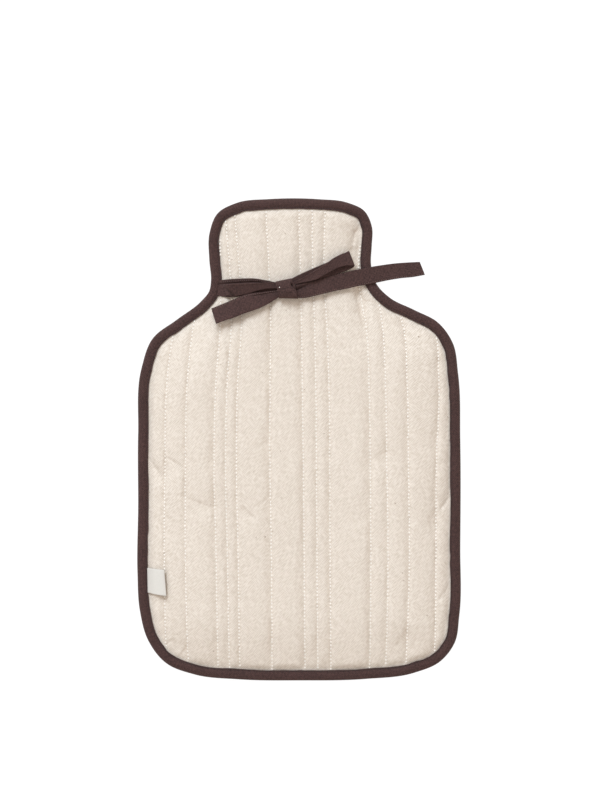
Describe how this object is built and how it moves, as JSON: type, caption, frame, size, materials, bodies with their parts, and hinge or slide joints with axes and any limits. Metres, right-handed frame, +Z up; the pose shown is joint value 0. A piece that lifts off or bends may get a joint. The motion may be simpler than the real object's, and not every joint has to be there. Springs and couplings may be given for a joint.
{
  "type": "hot water bottle cover",
  "caption": "Flat quilted cotton cover for a hot water bottle, with a bound edge and a ribbon bow tied across its neck.",
  "frame": {"origin": "middle of the cover's width and length, on the surface that its back lies on", "axes": "+Z up out of the front face, +Y towards the neck and its mouth, +X to the right seen from the front"},
  "size_m": [0.2432, 0.3614, 0.0221],
  "materials": {
    "quilted_cotton": "undyed cotton twill, quilted, matt",
    "brown_cotton": "plain woven dark brown cotton, matt",
    "label_tape": "off-white woven tape, matt"
  },
  "bodies": {
    "root": {"front_panel": "quilted_cotton", "back_panel": "quilted_cotton", "edge_binding": "brown_cotton", "tie_root_left": "brown_cotton", "tie_root_right": "brown_cotton", "tie_end_left": "brown_cotton", "tie_end_right": "brown_cotton", "bow_loop_left": "brown_cotton", "bow_loop_right": "brown_cotton", "bow_knot": "brown_cotton", "label_tab": "label_tape"}
  },
  "joints": []
}
